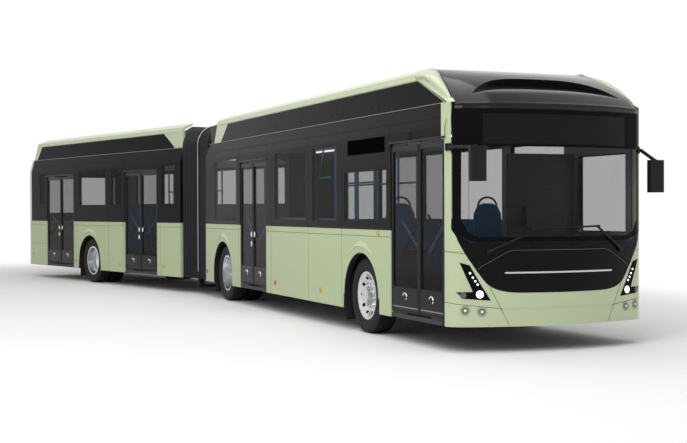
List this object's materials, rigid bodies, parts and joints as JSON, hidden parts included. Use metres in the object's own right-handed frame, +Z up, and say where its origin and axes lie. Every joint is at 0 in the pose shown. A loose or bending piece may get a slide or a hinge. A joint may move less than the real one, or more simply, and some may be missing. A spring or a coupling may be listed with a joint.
{
  "type": "articulated bus",
  "caption": "Low-floor articulated city bus: two hollow saloons joined by a turntable and bellows, with turning steered wheels and inward-swinging double doors.",
  "frame": {"origin": "middle of the footprint's bounding box, on the road", "axes": "+Z up from the road; +Y rearwards along the front section, whose nose faces -Y; +X towards the driver's side, so the doors are on the -X side"},
  "size_m": [4.456, 18.9638, 3.2],
  "materials": {
    "body_panels": "gloss pale green paint below the belt line and gloss black above it",
    "floor_steel": "dark floor covering on a steel frame",
    "roof_panel": "grey roof and ceiling with dark equipment covers",
    "fairing_paint": "gloss pale green rail over gloss black side covers",
    "black_gloss": "gloss black",
    "glazing": "tinted glass",
    "lamp_lens": "clear lens over dark housing",
    "cab_plastic": "moulded plastic",
    "seat_shell": "blue shell with cloth pads",
    "rail_paint": "blue powder coat",
    "mirror_housing": "black housing",
    "wiper_black": "matt black",
    "axle_steel": "painted casting",
    "bellows_rubber": "pleated coated fabric",
    "hoop_aluminium": "anodised",
    "tyre": "black tread rubber",
    "rim": "bright rim with polished cover",
    "door_leaf": "black frame round tinted glass",
    "door_arm": "black steel"
  },
  "bodies": {
    "front_section": {"front_floor": "floor_steel", "front_side_kerb": "body_panels", "front_side_road": "body_panels", "front_roof": "roof_panel", "front_fairing": "fairing_paint", "front_cap": "black_gloss", "front_mask": "black_gloss", "front_bumper": "body_panels", "headlamps": "lamp_lens", "front_glazing": "glazing", "driver_cab": "cab_plastic", "front_seats": "seat_shell", "front_handrails": "rail_paint", "mirrors": "mirror_housing", "wipers": "wiper_black", "front_axles": "axle_steel"},
    "rear_section": {"rear_floor": "floor_steel", "rear_side_kerb": "body_panels", "rear_side_road": "body_panels", "rear_roof": "roof_panel", "rear_fairing": "fairing_paint", "rear_end": "body_panels", "rear_glazing": "glazing", "tail_lamps": "lamp_lens", "rear_seats": "seat_shell", "rear_handrails": "rail_paint", "drive_unit": "axle_steel"},
    "centre_frame": {"centre_frame": "hoop_aluminium", "bellows": "bellows_rubber"},
    "rear_hatch": {"rear_hatch": "body_panels"},
    "knuckle_road": {"knuckle_road": "axle_steel"},
    "front_wheel_road": {"front_tyre_road": "tyre", "front_rim_road": "rim"},
    "knuckle_kerb": {"knuckle_kerb": "axle_steel"},
    "front_wheel_kerb": {"front_tyre_kerb": "tyre", "front_rim_kerb": "rim"},
    "middle_wheels_road": {"middle_tyres_road": "tyre", "middle_rims_road": "rim"},
    "middle_wheels_kerb": {"middle_tyres_kerb": "tyre", "middle_rims_kerb": "rim"},
    "rear_wheels_road": {"rear_tyres_road": "tyre", "rear_rims_road": "rim"},
    "rear_wheels_kerb": {"rear_tyres_kerb": "tyre", "rear_rims_kerb": "rim"},
    "door_1_front_arms": {"door_1_front_arms": "door_arm"},
    "door_1_front_leaf": {"door_1_front_leaf": "door_leaf"},
    "door_1_rear_arms": {"door_1_rear_arms": "door_arm"},
    "door_1_rear_leaf": {"door_1_rear_leaf": "door_leaf"},
    "door_2_front_arms": {"door_2_front_arms": "door_arm"},
    "door_2_front_leaf": {"door_2_front_leaf": "door_leaf"},
    "door_2_rear_arms": {"door_2_rear_arms": "door_arm"},
    "door_2_rear_leaf": {"door_2_rear_leaf": "door_leaf"},
    "door_3_front_arms": {"door_3_front_arms": "door_arm"},
    "door_3_front_leaf": {"door_3_front_leaf": "door_leaf"},
    "door_3_rear_arms": {"door_3_rear_arms": "door_arm"},
    "door_3_rear_leaf": {"door_3_rear_leaf": "door_leaf"},
    "door_4_front_arms": {"door_4_front_arms": "door_arm"},
    "door_4_front_leaf": {"door_4_front_leaf": "door_leaf"},
    "door_4_rear_arms": {"door_4_rear_arms": "door_arm"},
    "door_4_rear_leaf": {"door_4_rear_leaf": "door_leaf"}
  },
  "joints": [
    {"name": "articulation", "type": "hinge", "parent": "front_section", "child": "rear_section", "pos_m": [0.95301, 1.26715, 0.3], "axis": [0, 0, 1], "range_deg": [-63.76, 36.24], "deforming": ["bellows"]},
    {"name": "centre_frame_turn", "type": "hinge", "parent": "front_section", "child": "centre_frame", "pos_m": [0.95301, 1.26715, 0.3], "axis": [0, 0, 1], "range_deg": [-31.88, 18.12]},
    {"name": "steer_road", "type": "hinge", "parent": "front_section", "child": "knuckle_road", "pos_m": [1.91301, -6.53785, 0.475], "axis": [0, 0, 1], "range_deg": [-45, 45]},
    {"name": "front_wheel_spin_road", "type": "hinge", "parent": "knuckle_road", "child": "front_wheel_road", "pos_m": [2.02751, -6.53785, 0.475], "axis": [1, 0, 0], "continuous": true},
    {"name": "steer_kerb", "type": "hinge", "parent": "front_section", "child": "knuckle_kerb", "pos_m": [-0.00699, -6.53785, 0.475], "axis": [0, 0, 1], "range_deg": [-45, 45]},
    {"name": "front_wheel_spin_kerb", "type": "hinge", "parent": "knuckle_kerb", "child": "front_wheel_kerb", "pos_m": [-0.12149, -6.53785, 0.475], "axis": [1, 0, 0], "continuous": true},
    {"name": "middle_wheels_spin_road", "type": "hinge", "parent": "front_section", "child": "middle_wheels_road", "pos_m": [1.87251, -0.53285, 0.475], "axis": [1, 0, 0], "continuous": true},
    {"name": "middle_wheels_spin_kerb", "type": "hinge", "parent": "front_section", "child": "middle_wheels_kerb", "pos_m": [0.03351, -0.53285, 0.475], "axis": [1, 0, 0], "continuous": true},
    {"name": "rear_wheels_spin_road", "type": "hinge", "parent": "rear_section", "child": "rear_wheels_road", "pos_m": [0.69295, 6.19669, 0.475], "axis": [0.9713, 0.2378, 0], "continuous": true},
    {"name": "rear_wheels_spin_kerb", "type": "hinge", "parent": "rear_section", "child": "rear_wheels_kerb", "pos_m": [-1.09331, 5.75943, 0.475], "axis": [0.9713, 0.2378, 0], "continuous": true},
    {"name": "door_1_front_swing", "type": "hinge", "parent": "front_section", "child": "door_1_front_arms", "pos_m": [-0.28999, -8.80185, 1.3], "axis": [0, 0, -1], "range_deg": [0, 85]},
    {"name": "door_1_front_turn", "type": "hinge", "parent": "door_1_front_arms", "child": "door_1_front_leaf", "pos_m": [-0.28999, -8.50235, 1.3], "axis": [0, 0, 1], "range_deg": [0, 170]},
    {"name": "door_1_rear_swing", "type": "hinge", "parent": "front_section", "child": "door_1_rear_arms", "pos_m": [-0.28999, -7.47685, 1.3], "axis": [0, 0, 1], "range_deg": [0, 85]},
    {"name": "door_1_rear_turn", "type": "hinge", "parent": "door_1_rear_arms", "child": "door_1_rear_leaf", "pos_m": [-0.28999, -7.83685, 1.3], "axis": [0, 0, -1], "range_deg": [0, 170]},
    {"name": "door_2_front_swing", "type": "hinge", "parent": "front_section", "child": "door_2_front_arms", "pos_m": [-0.28999, -2.82685, 1.3], "axis": [0, 0, -1], "range_deg": [0, 85]},
    {"name": "door_2_front_turn", "type": "hinge", "parent": "door_2_front_arms", "child": "door_2_front_leaf", "pos_m": [-0.28999, -2.50935, 1.3], "axis": [0, 0, 1], "range_deg": [0, 170]},
    {"name": "door_2_rear_swing", "type": "hinge", "parent": "front_section", "child": "door_2_rear_arms", "pos_m": [-0.28999, -1.55385, 1.3], "axis": [0, 0, 1], "range_deg": [0, 85]},
    {"name": "door_2_rear_turn", "type": "hinge", "parent": "door_2_rear_arms", "child": "door_2_rear_leaf", "pos_m": [-0.28999, -1.86985, 1.3], "axis": [0, 0, -1], "range_deg": [0, 170]},
    {"name": "door_3_front_swing", "type": "hinge", "parent": "rear_section", "child": "door_3_front_arms", "pos_m": [-0.66973, 2.6685, 1.3], "axis": [0, 0, -1], "range_deg": [0, 85]},
    {"name": "door_3_front_turn", "type": "hinge", "parent": "door_3_front_arms", "child": "door_3_front_leaf", "pos_m": [-0.74938, 2.99389, 1.3], "axis": [0, 0, 1], "range_deg": [0, 170]},
    {"name": "door_3_rear_swing", "type": "hinge", "parent": "rear_section", "child": "door_3_rear_arms", "pos_m": [-0.99214, 3.98561, 1.3], "axis": [0, 0, 1], "range_deg": [0, 85]},
    {"name": "door_3_rear_turn", "type": "hinge", "parent": "door_3_rear_arms", "child": "door_3_rear_leaf", "pos_m": [-0.9113, 3.65536, 1.3], "axis": [0, 0, -1], "range_deg": [0, 170]},
    {"name": "door_4_front_swing", "type": "hinge", "parent": "rear_section", "child": "door_4_front_arms", "pos_m": [-1.60654, 6.49551, 1.3], "axis": [0, 0, -1], "range_deg": [0, 85]},
    {"name": "door_4_front_turn", "type": "hinge", "parent": "door_4_front_arms", "child": "door_4_front_leaf", "pos_m": [-1.68976, 6.83547, 1.3], "axis": [0, 0, 1], "range_deg": [0, 170]},
    {"name": "door_4_rear_swing", "type": "hinge", "parent": "rear_section", "child": "door_4_rear_arms", "pos_m": [-1.95036, 7.90004, 1.3], "axis": [0, 0, 1], "range_deg": [0, 85]},
    {"name": "door_4_rear_turn", "type": "hinge", "parent": "door_4_rear_arms", "child": "door_4_rear_leaf", "pos_m": [-1.86238, 7.54065, 1.3], "axis": [0, 0, -1], "range_deg": [0, 170]},
    {"name": "rear_hatch_lift", "type": "hinge", "parent": "rear_section", "child": "rear_hatch", "pos_m": [-0.98886, 9.19993, 1.237], "axis": [0.9713, 0.2378, 0], "range_deg": [0, 80]}
  ],
  "couplings": [
    {"joint": "centre_frame_turn", "follows": "articulation", "ratio": 0.5},
    {"joint": "steer_kerb", "follows": "steer_road", "ratio": 1},
    {"joint": "door_1_front_turn", "follows": "door_1_front_swing", "ratio": 2},
    {"joint": "door_1_rear_swing", "follows": "door_1_front_swing", "ratio": 1},
    {"joint": "door_1_rear_turn", "follows": "door_1_front_swing", "ratio": 2},
    {"joint": "door_2_front_turn", "follows": "door_2_front_swing", "ratio": 2},
    {"joint": "door_2_rear_swing", "follows": "door_2_front_swing", "ratio": 1},
    {"joint": "door_2_rear_turn", "follows": "door_2_front_swing", "ratio": 2},
    {"joint": "door_3_front_turn", "follows": "door_3_front_swing", "ratio": 2},
    {"joint": "door_3_rear_swing", "follows": "door_3_front_swing", "ratio": 1},
    {"joint": "door_3_rear_turn", "follows": "door_3_front_swing", "ratio": 2},
    {"joint": "door_4_front_turn", "follows": "door_4_front_swing", "ratio": 2},
    {"joint": "door_4_rear_swing", "follows": "door_4_front_swing", "ratio": 1},
    {"joint": "door_4_rear_turn", "follows": "door_4_front_swing", "ratio": 2}
  ]
}
